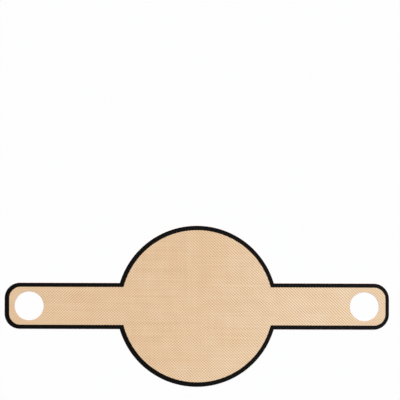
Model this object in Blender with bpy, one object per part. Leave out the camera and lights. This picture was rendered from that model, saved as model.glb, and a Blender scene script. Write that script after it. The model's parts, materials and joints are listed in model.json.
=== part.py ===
"""A bread sling: one die-cut laminate of woven glass cloth between two silicone skins.

A round base carries the loaf and a long handle runs out on each side to a grip with a finger
hole. A printed border follows the outline and lies in a rebate of the food skin, flush with
its face. The sheet bends at four short strips: where each handle leaves the base, and where
each grip turns over the pot's rim. Every layer of every flat stretch and of every strip is
one solid. Metres, +Z up. The origin is the base's centre on the lower face, the handles run
along X, and each moving stretch hangs on an empty that stands on its fold's axis.
"""

import math

import bmesh
import bpy
from mathutils import Matrix

# Outline of the sheet
BASE_DIAMETER = 0.210
HANDLE_LENGTH = 0.146
HANDLE_WIDTH = 0.060
END_CORNER_RADIUS = 0.019
HOLE_DIAMETER = 0.038
HOLE_INSET = 0.032

# Printed border, measured in from the outline
BORDER_WIDTH = 0.0055

# Layers, from the lower face up
PRINT_SKIN_THICKNESS = 0.0002
CLOTH_THICKNESS = 0.0003
FOOD_SKIN_THICKNESS = 0.0002
BORDER_THICKNESS = 0.0001

# Where the sheet bends
FOLD_LENGTH = 0.012
GRIP_LENGTH = 0.057

# Fineness of the round stretches
ARC_STEP_DEG = 2.8
HOLE_STEP_DEG = 5.625
CORNER_STEP_DEG = 7.5
SMOOTH_ANGLE_DEG = 30.0

# Places that follow from the sizes
BASE_RADIUS = BASE_DIAMETER / 2
HALF_WIDTH = HANDLE_WIDTH / 2
INNER_HALF_WIDTH = HALF_WIDTH - BORDER_WIDTH
JUNCTION_X = math.sqrt(BASE_RADIUS**2 - HALF_WIDTH**2)
END_X = BASE_RADIUS + HANDLE_LENGTH
HANDLE_START_X = JUNCTION_X + FOLD_LENGTH
GRIP_START_X = END_X - GRIP_LENGTH
HANDLE_END_X = GRIP_START_X - FOLD_LENGTH
BASE_FOLD_X = JUNCTION_X + FOLD_LENGTH / 2
RIM_FOLD_X = HANDLE_END_X + FOLD_LENGTH / 2
HOLE_X = END_X - HOLE_INSET

CLOTH_BOTTOM = PRINT_SKIN_THICKNESS
CLOTH_TOP = CLOTH_BOTTOM + CLOTH_THICKNESS
FOOD_FACE = CLOTH_TOP + FOOD_SKIN_THICKNESS
REBATE_FLOOR = FOOD_FACE - BORDER_THICKNESS
FOLD_Z = FOOD_FACE / 2

# Colour, roughness and metallic value of each finish
FINISHES = {
    "print_silicone": ((0.888, 0.091, 0.004), 0.42, 0.0),
    "glass_cloth": ((0.800, 0.740, 0.620), 0.80, 0.0),
    "food_silicone": ((0.776, 0.552, 0.352), 0.55, 0.0),
    "border_ink": ((0.009, 0.008, 0.006), 0.50, 0.0),
}


def clear_scene():
    for old in list(bpy.data.objects):
        bpy.data.objects.remove(old, do_unlink=True)


def finish(name):
    """The finish's material, made the first time that it is asked for."""
    if name in bpy.data.materials:
        return bpy.data.materials[name]
    colour, roughness, metallic = FINISHES[name]
    material = bpy.data.materials.new(name)
    material.use_nodes = True
    shader = material.node_tree.nodes["Principled BSDF"]
    shader.inputs["Base Color"].default_value = (*colour, 1.0)
    shader.inputs["Roughness"].default_value = roughness
    shader.inputs["Metallic"].default_value = metallic
    return material


def arc(centre, radius, start_deg, end_deg, step_deg):
    """Points along an arc, both ends included."""
    steps = max(2, round(abs(end_deg - start_deg) / step_deg))
    points = []
    for i in range(steps + 1):
        angle = math.radians(start_deg + (end_deg - start_deg) * i / steps)
        points.append((centre[0] + radius * math.cos(angle), centre[1] + radius * math.sin(angle)))
    return points


def circle(centre, radius, step_deg):
    return arc(centre, radius, 0.0, 360.0, step_deg)[:-1]


def mirrored(points, across_x=1, across_y=1):
    return [(x * across_x, y * across_y) for x, y in points]


def rim_angle(radius, half_width):
    """The angle at which a circle round the origin comes down to this half width."""
    return math.degrees(math.asin(half_width / radius))


def base_outline():
    """The round base, cut straight across where each handle leaves it."""
    start = rim_angle(BASE_RADIUS, HALF_WIDTH)
    back = arc((0, 0), BASE_RADIUS, start, 180 - start, ARC_STEP_DEG)
    front = arc((0, 0), BASE_RADIUS, 180 + start, 360 - start, ARC_STEP_DEG)
    return back + front


def inner_arc():
    """The border's inner edge along the back of the base."""
    inner_radius = BASE_RADIUS - BORDER_WIDTH
    start = rim_angle(inner_radius, INNER_HALF_WIDTH)
    return arc((0, 0), inner_radius, start, 180 - start, ARC_STEP_DEG)


def base_border_outline():
    """The back half of the base's border, with its mitred inner corners."""
    start = rim_angle(BASE_RADIUS, HALF_WIDTH)
    outer = arc((0, 0), BASE_RADIUS, start, 180 - start, ARC_STEP_DEG)
    inner = inner_arc()[::-1]
    return outer + [(-JUNCTION_X, INNER_HALF_WIDTH)] + inner + [(JUNCTION_X, INNER_HALF_WIDTH)]


def base_face_outline():
    """The food face inside the border, open towards both handles."""
    back = [(JUNCTION_X, INNER_HALF_WIDTH)] + inner_arc() + [(-JUNCTION_X, INNER_HALF_WIDTH)]
    return back + mirrored(back, across_y=-1)[::-1]


def strip_outline(start_x, end_x, low_y, high_y):
    return [(start_x, low_y), (end_x, low_y), (end_x, high_y), (start_x, high_y)]


def rounded_end(end_x, half_width, corner_radius):
    """The handle's end, from its front side round to its back side."""
    corner_x = end_x - corner_radius
    corner_y = half_width - corner_radius
    front = arc((corner_x, -corner_y), corner_radius, -90, 0, CORNER_STEP_DEG)
    back = arc((corner_x, corner_y), corner_radius, 0, 90, CORNER_STEP_DEG)
    return front + back


def grip_outline():
    end = rounded_end(END_X, HALF_WIDTH, END_CORNER_RADIUS)
    return [(GRIP_START_X, -HALF_WIDTH)] + end + [(GRIP_START_X, HALF_WIDTH)]


def grip_face_outline():
    end = rounded_end(
        END_X - BORDER_WIDTH,
        INNER_HALF_WIDTH,
        END_CORNER_RADIUS - BORDER_WIDTH,
    )
    return [(GRIP_START_X, -INNER_HALF_WIDTH)] + end + [(GRIP_START_X, INNER_HALF_WIDTH)]


def grip_border_outline():
    """A U that runs out along one side, round the end and back along the other."""
    return grip_outline() + grip_face_outline()[::-1]


def shared_corner(bm, corners, point, height):
    """One vertex for each point of the drawing, however many outlines pass through it."""
    if point not in corners:
        corners[point] = bm.verts.new((*point, height))
    return corners[point]


def fill(bm, corners, loops, height):
    """Flat faces inside the first outline and outside any other."""
    edges = []
    for loop in loops:
        ring = [shared_corner(bm, corners, point, height) for point in loop]
        for i, corner in enumerate(ring):
            ends = (ring[i - 1], corner)
            edges.append(bm.edges.get(ends) or bm.edges.new(ends))
    filled = bmesh.ops.triangle_fill(bm, edges=edges, use_beauty=True)
    return [part for part in filled["geom"] if isinstance(part, bmesh.types.BMFace)]


def pull(bm, faces, height):
    """Extrudes flat faces to a height. The faces that it starts from stay as the other side."""
    pulled = bmesh.ops.extrude_face_region(bm, geom=faces, use_keep_orig=True)
    for part in pulled["geom"]:
        if isinstance(part, bmesh.types.BMVert):
            part.co.z = height


def add_piece(name, bm, finish_name, axis):
    """Closes the mesh off as one object, drawn about the fold's axis that it turns on."""
    bmesh.ops.recalc_face_normals(bm, faces=bm.faces)
    mesh = bpy.data.meshes.new(name)
    bm.to_mesh(mesh)
    bm.free()
    mesh.shade_smooth()
    mesh.set_sharp_from_angle(angle=math.radians(SMOOTH_ANGLE_DEG))
    mesh.materials.append(finish(finish_name))
    if axis:
        mesh.transform(Matrix.Translation(-axis.matrix_world.translation))
    piece = bpy.data.objects.new(name, mesh)
    piece.parent = axis
    bpy.context.scene.collection.objects.link(piece)


def plate(name, loops, bottom, top, finish_name, axis):
    """A flat piece: an outline with any hole in it, from one height to another."""
    bm = bmesh.new()
    faces = fill(bm, {}, loops, top)
    pull(bm, faces, bottom)
    add_piece(name, bm, finish_name, axis)


def rebated_skin(name, face_loops, borders, axis):
    """The food skin: full height inside the border, and a rebate where the border lies."""
    bm = bmesh.new()
    corners = {}
    face = fill(bm, corners, face_loops, REBATE_FLOOR)
    ledges = [part for outline in borders for part in fill(bm, corners, [outline], REBATE_FLOOR)]
    pull(bm, face + ledges, CLOTH_TOP)
    pull(bm, face, FOOD_FACE)
    bmesh.ops.delete(bm, geom=face, context="FACES")
    add_piece(name, bm, "food_silicone", axis)


def laminate(name, outline, face, borders, holes=(), axis=None):
    """Every layer of one stretch of the sheet. borders holds each border piece's outline."""
    whole = [outline, *holes]
    plate(f"{name}_print_skin", whole, 0.0, CLOTH_BOTTOM, "print_silicone", axis)
    plate(f"{name}_cloth", whole, CLOTH_BOTTOM, CLOTH_TOP, "glass_cloth", axis)
    rebated_skin(f"{name}_food_skin", [face, *holes], borders.values(), axis)
    for suffix, band in borders.items():
        plate(f"{name}_{suffix}", [band], REBATE_FLOOR, FOOD_FACE, "border_ink", axis)


def fold_axis(name, x, parent=None):
    """An empty on a fold's axis, which runs along Y at mid thickness."""
    axis = bpy.data.objects.new(name, None)
    axis.empty_display_size = HALF_WIDTH
    bpy.context.scene.collection.objects.link(axis)
    axis.parent = parent
    axis.location = (x, 0.0, FOLD_Z)
    if parent:
        axis.location = (x - parent.location.x, 0.0, 0.0)
    bpy.context.view_layer.update()
    return axis


def straight_stretch(name, side, start_x, end_x, axis=None):
    """All the layers of a stretch of handle with straight sides."""
    whole = strip_outline(start_x, end_x, -HALF_WIDTH, HALF_WIDTH)
    face = strip_outline(start_x, end_x, -INNER_HALF_WIDTH, INNER_HALF_WIDTH)
    back = mirrored(strip_outline(start_x, end_x, INNER_HALF_WIDTH, HALF_WIDTH), side)
    borders = {"border_back": back, "border_front": mirrored(back, across_y=-1)}
    laminate(name, mirrored(whole, side), mirrored(face, side), borders, axis=axis)


def build_base():
    back = base_border_outline()
    borders = {"border_back": back, "border_front": mirrored(back, across_y=-1)}
    laminate("base", base_outline(), base_face_outline(), borders)


def build_grip(name, side, axis):
    borders = {"border": mirrored(grip_border_outline(), side)}
    hole = mirrored(circle((HOLE_X, 0), HOLE_DIAMETER / 2, HOLE_STEP_DEG), side)
    outline = mirrored(grip_outline(), side)
    laminate(name, outline, mirrored(grip_face_outline(), side), borders, [hole], axis)


def build_side(name, side):
    """One handle, from its fold at the base out to its grip."""
    base_axis = fold_axis(f"{name}_base_fold_axis", side * BASE_FOLD_X)
    rim_axis = fold_axis(f"{name}_rim_fold_axis", side * RIM_FOLD_X, base_axis)
    straight_stretch(f"{name}_base_fold", side, JUNCTION_X, HANDLE_START_X)
    straight_stretch(f"{name}_handle", side, HANDLE_START_X, HANDLE_END_X, base_axis)
    straight_stretch(f"{name}_rim_fold", side, HANDLE_END_X, GRIP_START_X, base_axis)
    build_grip(f"{name}_grip", side, rim_axis)


def main():
    clear_scene()
    build_base()
    build_side("left", -1)
    build_side("right", 1)


main()
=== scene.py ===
"""The bread sling's looks: coated glass cloth, die-cut and printed, laid flat on a white table."""

import json
import math

import bpy
import numpy as np
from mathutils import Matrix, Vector


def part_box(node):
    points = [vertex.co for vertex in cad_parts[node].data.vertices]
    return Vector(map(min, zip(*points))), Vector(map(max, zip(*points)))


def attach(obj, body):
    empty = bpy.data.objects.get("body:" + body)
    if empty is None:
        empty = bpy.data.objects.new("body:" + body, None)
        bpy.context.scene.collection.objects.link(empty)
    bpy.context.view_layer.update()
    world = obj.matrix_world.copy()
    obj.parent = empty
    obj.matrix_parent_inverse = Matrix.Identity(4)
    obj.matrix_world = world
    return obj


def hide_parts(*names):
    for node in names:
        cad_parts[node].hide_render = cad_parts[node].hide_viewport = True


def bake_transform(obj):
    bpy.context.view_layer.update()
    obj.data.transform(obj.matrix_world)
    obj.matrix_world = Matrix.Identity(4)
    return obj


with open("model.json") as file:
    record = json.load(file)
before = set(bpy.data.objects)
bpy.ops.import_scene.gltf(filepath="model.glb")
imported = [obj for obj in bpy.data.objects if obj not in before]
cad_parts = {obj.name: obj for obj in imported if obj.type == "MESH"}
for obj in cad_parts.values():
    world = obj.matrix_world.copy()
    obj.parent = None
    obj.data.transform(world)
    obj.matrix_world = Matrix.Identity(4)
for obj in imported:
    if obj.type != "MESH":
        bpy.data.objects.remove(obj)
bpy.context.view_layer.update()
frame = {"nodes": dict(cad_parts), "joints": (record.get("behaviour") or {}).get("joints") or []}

MM = 0.001

# The weave: how far apart its threads lie, how far they lean, and how finely a crossing is modelled
WARP_PITCH = 1.93 * MM
WEFT_PITCH = 1.78 * MM
WARP_LEAN = 0.034
WEFT_LEAN = 0.009
FACES_PER_THREAD = 3
THREADS_PER_TILE = 2
SPARE_TILES = 2
MERGE_DISTANCE = 0.001 * MM

# Sizes of the die that cuts the outline, read from the frame where a node's box gives them
BASE_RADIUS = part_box("base_cloth")[1].y
HALF_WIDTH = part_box("right_handle_cloth")[1].y
END_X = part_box("right_grip_cloth")[1].x
JUNCTION_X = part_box("base_cloth")[1].x
BORDER_WIDTH = HALF_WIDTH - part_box("right_handle_border_back")[0].y
CORNER_RADIUS = 20 * MM
HOLE_RADIUS = 19 * MM
HOLE_FROM_END = 32 * MM
HOLE_X = END_X - HOLE_FROM_END
SEAM_X = 147.3 * MM
DIE_HEIGHT = 10 * MM
DISC_SIDES = 256
HOLE_SIDES = 96
CORNER_SEGMENTS = 14

# The printed border's inner edge: a little wider round the disc, and printed a little to the right
DISC_BORDER = BORDER_WIDTH + 0.3 * MM
BAR_BORDER = BORDER_WIDTH - 0.2 * MM
DISC_SHIFT = 0.4 * MM
BAR_SHIFT = 0.7 * MM

# Heights in the laminate
SHEET_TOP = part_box("base_food_skin")[1].z
CLOTH_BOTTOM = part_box("base_cloth")[0].z
CLOTH_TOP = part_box("base_cloth")[1].z
FOOD_RELIEF = 0.08 * MM
PRINT_RELIEF = 0.05 * MM
INK_FILM = 0.03 * MM
FOOD_LEVEL = SHEET_TOP - FOOD_RELIEF - INK_FILM
PRINT_LEVEL = PRINT_RELIEF + 0.02 * MM
INK_BACK = CLOTH_TOP + 0.01 * MM
INK_OVERHANG = 0.01 * MM
INK_CREEP = 3.0
INK_DIE_HEIGHT = 1 * MM
CORE_INSET = 0.03 * MM
SLAB_REACH = 1.0
SLIVER = 0.002 * MM

# The sprigs printed white on the underside; the first pair and the tip are placed in grain spacings
SPRIG_Y = 46 * MM
GRAIN_LENGTH = 13 * MM
GRAIN_WIDTH = 4.6 * MM
GRAIN_SIDES = 24
GRAIN_SPACING = 7.4 * MM
GRAIN_TURN = math.radians(30)
GRAIN_PAIRS = 5
FIRST_PAIR = 0.4
TIP_GRAIN = GRAIN_PAIRS + 0.9
STEM_GAP = 0.8 * MM

# How each fold's bend is spread about its axis, towards the base and away from it
BEND = (2.2 * MM, 3.2 * MM)
BEND_CUTS = 14
SMOOTH_ANGLE = math.radians(35)


def joint_x(name):
    return next(j for j in frame["joints"] if j["name"] == name)["pos_m"][0]


# Selecting and editing

def only(piece):
    """Leaves one object selected and active."""
    bpy.ops.object.select_all(action="DESELECT")
    piece.select_set(True)
    bpy.context.view_layer.objects.active = piece


def added(name):
    """Names the primitive that was just added and settles its place into its mesh."""
    piece = bpy.context.object
    piece.name = name
    only(piece)
    bpy.ops.object.transform_apply(location=True, rotation=True, scale=True)
    return piece


def modified(piece, kind, **settings):
    """Puts one modifier on a piece and applies it."""
    only(piece)
    modifier = piece.modifiers.new(kind.title(), kind)
    for key, value in settings.items():
        setattr(modifier, key, value)
    bpy.ops.object.modifier_apply(modifier=modifier.name)
    return piece


def combined(piece, tool, operation):
    """Cuts, joins or trims a piece with a tool, which is used up."""
    modified(piece, "BOOLEAN", object=tool, operation=operation, solver="MANIFOLD")
    bpy.data.objects.remove(tool, do_unlink=True)
    return piece


def tidied(piece):
    """Dissolves the slivers that a die leaves, and the spare points that join only two edges."""
    only(piece)
    bpy.ops.object.mode_set(mode="EDIT")
    bpy.ops.mesh.select_mode(type="VERT")
    bpy.ops.mesh.select_all(action="SELECT")
    bpy.ops.mesh.dissolve_degenerate(threshold=SLIVER)
    bpy.ops.mesh.select_all(action="DESELECT")
    bpy.ops.object.mode_set(mode="OBJECT")
    ends = np.empty(len(piece.data.edges) * 2, np.int32)
    piece.data.edges.foreach_get("vertices", ends)
    edges_at = np.bincount(ends, minlength=len(piece.data.vertices))
    piece.data.vertices.foreach_set("select", edges_at == 2)
    bpy.ops.object.mode_set(mode="EDIT")
    bpy.ops.mesh.dissolve_verts()
    bpy.ops.object.mode_set(mode="OBJECT")


def block(name, low, high):
    """A box between two corners."""
    size = Vector(high) - Vector(low)
    middle = (Vector(high) + Vector(low)) / 2
    bpy.ops.mesh.primitive_cube_add(size=1, location=middle, scale=size)
    return added(name)


# The die

def bar_die(name, inset, height=DIE_HEIGHT):
    """The two handles as one bar with rounded ends."""
    x, y = END_X - inset, HALF_WIDTH - inset
    bar = block(name, (-x, -y, -height), (x, y, height))
    only(bar)
    bpy.ops.object.mode_set(mode="EDIT")
    bpy.ops.mesh.select_all(action="DESELECT")
    bpy.ops.mesh.select_mode(type="EDGE")
    bpy.ops.object.mode_set(mode="OBJECT")
    for edge in bar.data.edges:
        a, b = (bar.data.vertices[i].co for i in edge.vertices)
        edge.select = abs(a.z - b.z) > height
    bpy.ops.object.mode_set(mode="EDIT")
    bpy.ops.mesh.bevel(offset=CORNER_RADIUS - inset, segments=CORNER_SEGMENTS, affect="EDGES")
    bpy.ops.object.mode_set(mode="OBJECT")
    return bar


def disc_die(name, inset, height=DIE_HEIGHT):
    """The round base."""
    bpy.ops.mesh.primitive_cylinder_add(
        vertices=DISC_SIDES,
        radius=BASE_RADIUS - inset,
        depth=2 * height,
    )
    return added(name)


def outline_die(name, inset=0.0):
    """The whole outline, without its finger holes."""
    return combined(disc_die(name, inset), bar_die("bar", inset), "UNION")


def leaning(die, size_x, size_y):
    """Leans a die's walls inwards, so that ink cut with it reaches further over the crests.

    The die then becomes triangles, because its rounded corners no longer have flat faces.
    """
    for vertex in die.data.vertices:
        vertex.co.x *= 1 - INK_CREEP * vertex.co.z / size_x
        vertex.co.y *= 1 - INK_CREEP * vertex.co.z / size_y
        vertex.co.z += FOOD_LEVEL + INK_FILM
    return modified(die, "TRIANGULATE")


def shifted(die, along):
    """Moves a die along the sling."""
    die.location.x = along
    only(die)
    bpy.ops.object.transform_apply(location=True)
    return die


def face_die(name):
    """The bare face inside the border."""
    disc = disc_die(name, DISC_BORDER, INK_DIE_HEIGHT)
    leaning(disc, BASE_RADIUS - DISC_BORDER, BASE_RADIUS - DISC_BORDER)
    bar = bar_die("bar", BAR_BORDER, INK_DIE_HEIGHT)
    leaning(bar, END_X - BAR_BORDER, HALF_WIDTH - BAR_BORDER)
    return combined(shifted(disc, DISC_SHIFT), shifted(bar, BAR_SHIFT), "UNION")


def punched(die, grow=0.0):
    """Takes the two finger holes out of a die."""
    for side in (-1, 1):
        bpy.ops.mesh.primitive_cylinder_add(
            vertices=HOLE_SIDES,
            radius=HOLE_RADIUS + grow,
            depth=3 * DIE_HEIGHT,
            location=(side * HOLE_X, 0, 0),
        )
        combined(die, added("punch"), "DIFFERENCE")
    return die


def stretch_of(die, start_x, end_x):
    """The part of a die between two places along the sling."""
    reach = 2 * BASE_RADIUS
    low, high = (start_x, -reach, -2 * DIE_HEIGHT), (end_x, reach, 2 * DIE_HEIGHT)
    return combined(die, block("stretch", low, high), "INTERSECT")


def grain(x, y, turn):
    """One grain of wheat: a round die, drawn out and pinched to a point at each end."""
    bpy.ops.mesh.primitive_cylinder_add(vertices=GRAIN_SIDES, radius=1, depth=2 * DIE_HEIGHT)
    piece = added("grain")
    for vertex in piece.data.vertices:
        vertex.co.y *= abs(vertex.co.y) * GRAIN_WIDTH / 2
        vertex.co.x *= GRAIN_LENGTH / 2
    piece.rotation_euler.z = turn
    piece.location = (x, y, 0)
    bpy.ops.object.transform_apply(location=True, rotation=True)
    return piece


def sprig_die(name):
    """Two pairs of wheat ears, each pair pointing outwards from the sling's middle."""
    grains = []
    reach = GRAIN_LENGTH / 2
    rise = STEM_GAP + reach * math.sin(GRAIN_TURN)
    for y in (-SPRIG_Y, SPRIG_Y):
        for side in (-1, 1):
            for row in range(GRAIN_PAIRS):
                x = side * ((row + FIRST_PAIR) * GRAIN_SPACING + reach * math.cos(GRAIN_TURN))
                grains.append(grain(x, y + rise, side * GRAIN_TURN))
                grains.append(grain(x, y - rise, -side * GRAIN_TURN))
            grains.append(grain(side * (TIP_GRAIN * GRAIN_SPACING + reach), y, 0))
    bpy.ops.object.select_all(action="DESELECT")
    for piece in grains:
        piece.select_set(True)
    bpy.context.view_layer.objects.active = grains[0]
    bpy.ops.object.join()
    grains[0].name = name
    return grains[0]


# The woven sheet that the die cuts

def tile_steps():
    """The way from one tile to the next along and across the sling."""
    square = 1 - WARP_LEAN * WEFT_LEAN
    along = THREADS_PER_TILE * WARP_PITCH / square
    across = THREADS_PER_TILE * WEFT_PITCH / square
    return Vector((along, WEFT_LEAN * along, 0)), Vector((WARP_LEAN * across, across, 0))


def weave_tile(name, level, relief):
    """Two by two thread crossings, alternately raised and sunk, at one height in the sheet.

    They are triangles from the start, so that every face is flat where the die cuts it.
    """
    cells = FACES_PER_THREAD * THREADS_PER_TILE
    bpy.ops.mesh.primitive_grid_add(x_subdivisions=cells, y_subdivisions=cells, size=1)
    tile = added(name)
    step_x, step_y = tile_steps()
    turn = math.pi * THREADS_PER_TILE
    for vertex in tile.data.vertices:
        s, t = vertex.co.x + 0.5, vertex.co.y + 0.5
        crossing = math.sin(turn * s) * math.sin(turn * t)
        vertex.co = s * step_x + t * step_y
        vertex.co.z = level + relief * crossing
    return modified(tile, "TRIANGULATE")


def woven_blank(name, low_x, high_x, half_y, level, relief, back):
    """A closed sheet, woven on one side and flat on its back, laid on the same threads everywhere."""
    step_x, step_y = tile_steps()
    first_x = math.floor(low_x / step_x.x) - SPARE_TILES
    first_y = math.floor(-half_y / step_y.y) - SPARE_TILES
    count_x = math.ceil(high_x / step_x.x) + SPARE_TILES - first_x
    count_y = math.ceil(half_y / step_y.y) + SPARE_TILES - first_y
    blank = weave_tile(name, level, relief)
    for count, step in ((count_x, step_x), (count_y, step_y)):
        modified(
            blank,
            "ARRAY",
            count=count,
            use_relative_offset=False,
            use_constant_offset=True,
            constant_offset_displace=step,
            use_merge_vertices=True,
            merge_threshold=MERGE_DISTANCE,
        )
    blank.location = first_x * step_x + first_y * step_y
    bpy.ops.object.transform_apply(location=True)
    bpy.ops.object.mode_set(mode="EDIT")
    bpy.ops.mesh.select_mode(type="EDGE")
    bpy.ops.mesh.select_all(action="DESELECT")
    bpy.ops.mesh.select_non_manifold(extend=False)
    bpy.ops.mesh.extrude_edges_move(TRANSFORM_OT_translate={"value": (0, 0, back - level)})
    bpy.ops.transform.resize(value=(1, 1, 0), center_override=(0, 0, back))
    bpy.ops.mesh.edge_face_add()
    bpy.ops.mesh.select_all(action="SELECT")
    bpy.ops.mesh.normals_make_consistent(inside=False)
    bpy.ops.object.mode_set(mode="OBJECT")
    return blank


# The stretches of the sling, and the layers of each

def side_stretch(name, side, near, far, bodies, axis_x):
    """A stretch of one side: its name, its two ends, and the bodies and places that it bends between."""
    ends = sorted((side * near, side * far))
    bend = (axis_x - side * BEND[0], axis_x + side * BEND[1])
    return (name, *ends, (*bodies, *bend))


def stretches():
    """Every stretch from the base outwards; the base itself doesn't bend."""
    found = [("base", -JUNCTION_X, JUNCTION_X, None)]
    for name, side in (("left", -1), ("right", 1)):
        handle, grip = f"{name}_handle", f"{name}_grip"
        fold, rim = joint_x(f"{name}_base_fold"), joint_x(f"{name}_rim_fold")
        found.append(side_stretch(handle, side, JUNCTION_X, SEAM_X, ("base", handle), fold))
        found.append(side_stretch(grip, side, SEAM_X, 2 * END_X, (handle, grip), rim))
    return found


def nodes_of(stretch, layer):
    """The frame's nodes that a stretch's layer stands for."""
    fold_of = {"handle": "base_fold", "grip": "rim_fold"}
    names = [stretch]
    side, _, part = stretch.partition("_")
    if part:
        names.append(f"{side}_{fold_of[part]}")
    return [n for n in frame["nodes"] if any(n.startswith(f"{name}_{layer}") for name in names)]


def cut_across(piece, start_x, end_x):
    """Cuts a piece's faces across its bend, so that its flat sides bend as its woven one does."""
    only(piece)
    bpy.ops.object.mode_set(mode="EDIT")
    bpy.ops.mesh.select_mode(type="FACE")
    for cut in range(BEND_CUTS + 1):
        x = start_x + (end_x - start_x) * cut / BEND_CUTS
        bpy.ops.mesh.select_all(action="SELECT")
        bpy.ops.mesh.bisect(plane_co=(x, 0, 0), plane_no=(1, 0, 0))
    bpy.ops.object.mode_set(mode="OBJECT")


def settled(piece, stretch, follows, layer, slot):
    """Marks where each point lies in the flat sheet and gives the piece its finish; a piece of the base
    is attached to the base's body, any other only has its place baked into its mesh.
    """
    if follows:
        cut_across(piece, *follows[2:])
    tidied(piece)
    bpy.ops.object.shade_smooth_by_angle(angle=SMOOTH_ANGLE)
    places = np.empty(len(piece.data.vertices) * 3, np.float32)
    piece.data.vertices.foreach_get("co", places)
    flat = piece.data.attributes.new("flat", "FLOAT_VECTOR", "POINT")
    flat.data.foreach_set("vector", places)
    piece.data.materials.clear()
    piece.data.materials.append(FINISHES[slot])
    if follows:
        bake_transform(piece)
    else:
        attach(piece, "base")
    if layer:
        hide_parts(*nodes_of(stretch, layer))
    return piece


def build_stretch(stretch, low_x, high_x, follows):
    """The four layers of a stretch: the cloth core, and the faces and ink that go with it."""
    half_y = BASE_RADIUS if stretch == "base" else HALF_WIDTH
    near, far = max(low_x, -END_X), min(high_x, END_X)

    def woven(name, die, level, relief, back):
        blank = woven_blank(f"{stretch}_{name}", near, far, half_y, level, relief, back)
        return combined(blank, stretch_of(die, low_x, high_x), "INTERSECT")

    food = woven("food_face", punched(outline_die("die")), FOOD_LEVEL, FOOD_RELIEF, CLOTH_TOP)
    settled(food, stretch, follows, "food_skin", "food_silicone")

    core = outline_die(f"{stretch}_cloth_core", CORE_INSET)
    stretch_of(punched(core, CORE_INSET), low_x, high_x)
    low, high = (-SLAB_REACH, -SLAB_REACH, CLOTH_BOTTOM), (SLAB_REACH, SLAB_REACH, CLOTH_TOP)
    combined(core, block("slab", low, high), "INTERSECT")
    settled(core, stretch, follows, "cloth", "glass_cloth")

    under = woven("print_face", punched(outline_die("die")), PRINT_LEVEL, PRINT_RELIEF, CLOTH_BOTTOM)
    settled(under, stretch, follows, "print_skin", "print_silicone")

    ring = combined(outline_die("die", -INK_OVERHANG), face_die("face"), "DIFFERENCE")
    ink = woven("border_ink", ring, FOOD_LEVEL + INK_FILM, FOOD_RELIEF, INK_BACK)
    settled(ink, stretch, follows, "border", "border_ink")
    return core, [food, under, ink]


def build_sprigs():
    """The white sprigs, a film over the underside's weave."""
    level = PRINT_LEVEL - INK_FILM
    reach = (GRAIN_PAIRS + 2) * GRAIN_SPACING
    sprigs = woven_blank("base_sprigs", -reach, reach, BASE_RADIUS, level, PRINT_RELIEF, CLOTH_BOTTOM)
    combined(sprigs, sprig_die("die"), "INTERSECT")
    return settled(sprigs, "base", None, None, "white_ink")


def flat_area(stretch):
    """What a stretch was cut to before any bend: its length, its width and its area."""
    if stretch == "base":
        lens = BASE_RADIUS**2 * math.acos(JUNCTION_X / BASE_RADIUS) - JUNCTION_X * HALF_WIDTH
        return 2 * JUNCTION_X, 2 * BASE_RADIUS, math.pi * BASE_RADIUS**2 - 2 * lens
    width = 2 * HALF_WIDTH
    if stretch.endswith("handle"):
        length = SEAM_X - JUNCTION_X
        return length, width, length * width
    length = END_X - SEAM_X
    corners = (2 - math.pi / 2) * CORNER_RADIUS**2
    return length, width, length * width - corners - math.pi * HOLE_RADIUS**2


# Finishes

class Shade:
    """A number or colour in a material, on which plain arithmetic adds Math nodes."""

    def __init__(self, tree, socket):
        self.tree = tree
        self.socket = socket

    def node(self, kind, settings=None, values=None, output=0):
        made = self.tree.nodes.new(kind)
        for key, value in (settings or {}).items():
            setattr(made, key, value)
        for key, value in (values or {}).items():
            if isinstance(value, Shade):
                self.tree.links.new(value.socket, made.inputs[key])
            else:
                made.inputs[key].default_value = value
        return Shade(self.tree, made.outputs[output])

    def math(self, operation, *values):
        return self.node("ShaderNodeMath", {"operation": operation}, dict(enumerate((self, *values))))

    def __add__(self, other):
        return self.math("ADD", other)

    def __mul__(self, other):
        return self.math("MULTIPLY", other)

    def __sub__(self, other):
        return self.math("SUBTRACT", other)

    def __rsub__(self, other):
        return self.node("ShaderNodeMath", {"operation": "SUBTRACT"}, {0: other, 1: self})

    __radd__ = __add__
    __rmul__ = __mul__


def colour(r, g, b):
    """An sRGB colour, 0 to 255, as a shader takes it."""
    channels = [c / 255 for c in (r, g, b)]
    return (*[c / 12.92 if c <= 0.04045 else ((c + 0.055) / 1.055) ** 2.4 for c in channels], 1.0)


def new_material(name):
    """A material and its shader."""
    material = bpy.data.materials.new(name)
    material.use_nodes = True
    shader = material.node_tree.nodes["Principled BSDF"]
    return material, shader


def ramp(place, slope, at_zero, low, high):
    """A number that changes by slope in every metre, and stays level once it reaches low or high."""
    return (place * slope + at_zero).math("MAXIMUM", low).math("MINIMUM", high)


def between(factor, low, high):
    """A colour from low to high as the factor goes from 0 to 1."""
    inputs = {"Factor": factor, 6: low, 7: high}
    return factor.node("ShaderNodeMix", {"data_type": "RGBA"}, inputs, output=2)


def noise(flat, scales, detail=2.0):
    """Smooth noise about 0.5, drawn out along or across the sling where its two scales differ."""
    stretched = {0: flat, 1: (*scales, 1)}
    place = flat.node("ShaderNodeVectorMath", {"operation": "MULTIPLY"}, stretched)
    values = {"Vector": place, "Scale": 1.0, "Detail": detail}
    return flat.node("ShaderNodeTexNoise", {"noise_dimensions": "2D"}, values)


def even(x, y):
    """Both sets of slanted ridges equally strong, so that the crossings show as a chequer."""
    return 0.5, 0.5


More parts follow.
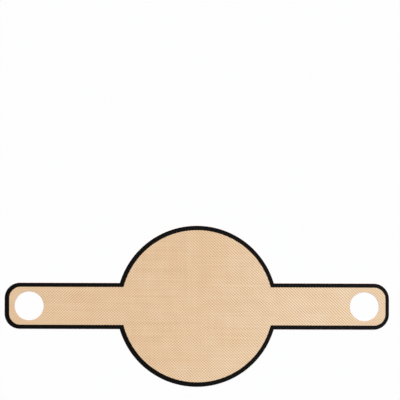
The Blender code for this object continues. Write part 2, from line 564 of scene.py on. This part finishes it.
def painted_light_ridges(x, y):
    """Painted shading of the weave's relief, as if lit from the upper left at the left and from the
    upper right at the right:
    one set of ridges shows at the front left, the other right.

    At each end of the sling, the set that has faded comes back a little.
    """
    front_left = ramp(x + y, slope=-2.1, at_zero=0.26, low=0.08, high=0.6)
    right_end = ramp(x - y * 0.6, slope=5.0, at_zero=-0.825, low=0.0, high=0.38)
    rightwards = ramp(x, slope=2.6, at_zero=0.57, low=0.18, high=0.87)
    left_end = ramp(x, slope=-2.4, at_zero=-0.456, low=0.0, high=0.12)
    return front_left + right_end, rightwards + left_end


# The noises of a finish: how finely each one varies along and across the sling, to the metre
WARP_FILAMENTS = (7000, 700)
WEFT_FILAMENTS = (700, 7000)
WARP_SLUBS = (520, 9)
WEFT_SLUBS = (9, 560)
BLOTCHES = (55, 55)
DEPTHS = (26, 34)
CLOUD_DETAIL = 3.0

# How strongly they tell in the tone, the bump and the roughness
WARP_SLUB_TONE = 0.28
WEFT_SLUB_TONE = 0.55
FILAMENT_TONE = 0.12
FILAMENT_BUMP = 0.12
FILAMENT_ROUGHNESS = 0.1
CREST_POLISH = 0.08
THREAD_BUMP = 0.09 * MM

# The coat's tint where it lies deepest and where it lies thinnest
DEEP_COAT = (0.975, 0.955, 0.91, 1)
THIN_COAT = (1.0, 1.035, 1.09, 1)


def woven_finish(name, tones, roughness, shine, ridges, blotch):
    """Coated glass cloth: crests paler than pits, partly the cloth's own tone and partly painted
    highlight on the crests and painted shade in the pits;
    filaments and slubs along the threads, and blotches.

    The tones are the pit's and the crest's colour at the left end, then at the right end; on the tan and
    the black the right end is paler, a painted sheen, and the orange is darker there. The coat over them
    varies slowly in depth.
    """
    material, shader = new_material(name)
    tree = material.node_tree
    flat = Shade(tree, None).node("ShaderNodeAttribute", {"attribute_name": "flat"}, output="Vector")
    x = flat.node("ShaderNodeSeparateXYZ", None, {0: flat}, output="X")
    y = flat.node("ShaderNodeSeparateXYZ", None, {0: flat}, output="Y")

    warp = (x - y * WARP_LEAN) * (math.pi / WARP_PITCH)
    weft = (y - x * WEFT_LEAN) * (math.pi / WEFT_PITCH)
    rising = (warp - weft).math("COSINE")
    falling = (warp + weft).math("COSINE")
    warp_over = (rising - falling) * 0.25 + 0.5
    weft_over = 1 - warp_over

    filaments = noise(flat, WARP_FILAMENTS) * warp_over + noise(flat, WEFT_FILAMENTS) * weft_over
    warp_slubs = (noise(flat, WARP_SLUBS) - 0.5) * warp_over * WARP_SLUB_TONE
    weft_slubs = (noise(flat, WEFT_SLUBS) - 0.5) * weft_over * WEFT_SLUB_TONE
    # For the food silicone, these ridge weights are painted shading from the light's direction.
    rising_part, falling_part = ridges(x, y)
    weight = (rising * rising_part - falling * falling_part) * 0.5 + 0.5
    weight = weight + (noise(flat, BLOTCHES, CLOUD_DETAIL) - 0.5) * blotch
    weight = weight + warp_slubs + weft_slubs + (filaments - 0.5) * FILAMENT_TONE

    # Towards the right and the front the tones move to the right end's: a painted sheen on the tan and
    # the black, a darker tone on the orange.
    rightwards = ramp(x - y * 0.5, slope=5.0, at_zero=0.18, low=0.0, high=1.0)
    # Pits darker, crests paler: partly the cloth's own tone, partly painted shade in the pits and
    # painted highlight on the crests.
    pit = between(rightwards, tones[0], tones[2])
    crest = between(rightwards, tones[1], tones[3])
    coat = between(noise(flat, DEPTHS, CLOUD_DETAIL), DEEP_COAT, THIN_COAT)
    tinted = flat.node(
        "ShaderNodeMix",
        {"data_type": "RGBA", "blend_type": "MULTIPLY"},
        {"Factor": 1.0, 6: between(weight, pit, crest), 7: coat},
        output=2,
    )
    tree.links.new(tinted.socket, shader.inputs["Base Color"])

    warp_round = warp.math("SINE").math("ABSOLUTE") * warp_over
    weft_round = weft.math("SINE").math("ABSOLUTE") * weft_over
    rounded = warp_round.math("MAXIMUM", weft_round)
    height = rounded + filaments * FILAMENT_BUMP
    values = {"Strength": 1.0, "Distance": THREAD_BUMP, "Height": height}
    bump = height.node("ShaderNodeBump", None, values)
    tree.links.new(bump.socket, shader.inputs["Normal"])
    rough = filaments * FILAMENT_ROUGHNESS - rounded * CREST_POLISH + roughness
    tree.links.new(rough.socket, shader.inputs["Roughness"])
    shader.inputs["Specular IOR Level"].default_value = shine
    return material


# The right end's tones: on the tan and the black paler, a painted sheen; on the orange darker.
TAN_LEFT = (colour(200, 154, 114), colour(251, 224, 186))
TAN_RIGHT_SHEENED = (colour(213, 170, 131), colour(255, 234, 201))
ORANGE_LEFT = (colour(236, 76, 1), colour(249, 91, 3))
ORANGE_RIGHT = (colour(231, 70, 1), colour(244, 85, 3))
BLACK_LEFT = (colour(5, 4, 4), colour(12, 11, 10))
BLACK_RIGHT_SHEENED = (colour(11, 11, 11), colour(23, 22, 22))
GLASS = (colour(176, 150, 112), colour(216, 192, 154))
WHITE = (colour(236, 233, 228), colour(250, 249, 246))

# Each finish: its tones, roughness, shine, ridges and how strongly it is blotched
RECIPES = {
    # The food silicone's ridges are painted shading: one set lit from the upper left, the other from the
    # upper right.
    "food_silicone": (TAN_LEFT + TAN_RIGHT_SHEENED, 0.5, 0.2, painted_light_ridges, 0.16),
    "print_silicone": (ORANGE_LEFT + ORANGE_RIGHT, 0.45, 0.08, even, 0.2),
    "glass_cloth": (GLASS + GLASS, 0.8, 0.2, even, 0.3),
    "white_ink": (WHITE + WHITE, 0.5, 0.2, even, 0.1),
    "border_ink": (BLACK_LEFT + BLACK_RIGHT_SHEENED, 0.5, 0.06, even, 0.2),
}
FINISHES = {name: woven_finish(name, *recipe) for name, recipe in RECIPES.items()}

# The stage: a wide white table, one soft lamp, and a room that lights the sling less than it shows
TABLE_SIZE = 60.0
TABLE_DROP = 0.1 * MM
TABLE_WHITE = (0.985, 0.985, 0.99, 1)
TABLE_ROUGHNESS = 0.9
TABLE_SHINE = 0.1
ROOM_LIGHT = 0.2
ROOM_SHOWN = 0.972


def table():
    bpy.ops.mesh.primitive_plane_add(size=TABLE_SIZE, location=(0, 0, -TABLE_DROP))
    top = bpy.context.object
    top.name = "table"
    material, shader = new_material("table_white")
    shader.inputs["Base Color"].default_value = TABLE_WHITE
    shader.inputs["Roughness"].default_value = TABLE_ROUGHNESS
    shader.inputs["Specular IOR Level"].default_value = TABLE_SHINE
    top.data.materials.append(material)


def sun(name, strength, azimuth, elevation, softness):
    """A lamp far off, its azimuth in degrees from the sling's far side towards the right."""
    lamp = bpy.data.lights.new(name, "SUN")
    lamp.energy = strength
    lamp.angle = math.radians(softness)
    holder = bpy.data.objects.new(name, lamp)
    bpy.context.scene.collection.objects.link(holder)
    a, e = math.radians(azimuth), math.radians(elevation)
    towards = Vector((math.sin(a) * math.cos(e), math.cos(a) * math.cos(e), math.sin(e)))
    holder.rotation_euler = towards.to_track_quat("Z", "Y").to_euler()


def lights():
    sun("softbox", strength=2.86, azimuth=20, elevation=62, softness=20)
    world = bpy.data.worlds.new("studio")
    bpy.context.scene.world = world
    world.use_nodes = True
    tree = world.node_tree
    ground = tree.nodes["Background"]
    path = Shade(tree, None).node("ShaderNodeLightPath", output="Is Camera Ray")
    strength = path * (ROOM_SHOWN - ROOM_LIGHT) + ROOM_LIGHT
    tree.links.new(strength.socket, ground.inputs["Strength"])
    ground.inputs["Color"].default_value = (1, 1, 1, 1)


# The photograph's frame, 400 pixels square: where the sling's middle lies in it, its scale and roll
PHOTO_PIXELS = 400
MIDDLE_PX = (197.05, 306.0)
PIXEL_SIZE = 1.3085 * MM
TILT_DEG = -0.6
ROLL_DEG = 0.158
CAMERA_DISTANCE = 1.1
SENSOR = 36.0


def camera():
    lens = bpy.data.cameras.new("camera")
    eye = bpy.data.objects.new("camera", lens)
    bpy.context.scene.collection.objects.link(eye)
    bpy.context.scene.camera = eye
    lens.sensor_width = SENSOR
    lens.lens = SENSOR * CAMERA_DISTANCE / (PHOTO_PIXELS * PIXEL_SIZE)
    tilt = math.radians(TILT_DEG)
    offset_x = (PHOTO_PIXELS / 2 - MIDDLE_PX[0]) * PIXEL_SIZE
    offset_y = (MIDDLE_PX[1] - PHOTO_PIXELS / 2) * PIXEL_SIZE
    eye.location = (offset_x, offset_y + CAMERA_DISTANCE * math.sin(tilt), CAMERA_DISTANCE)
    eye.rotation_euler = (-tilt, 0, math.radians(ROLL_DEG))


def main():
    for stretch, low_x, high_x, follows in stretches():
        core, layers = build_stretch(stretch, low_x, high_x, follows)
        if stretch == "base":
            layers.append(build_sprigs())
        length, width, area = flat_area(stretch)
    table()
    lights()
    camera()
    bpy.context.scene.view_settings.view_transform = "Standard"


main()
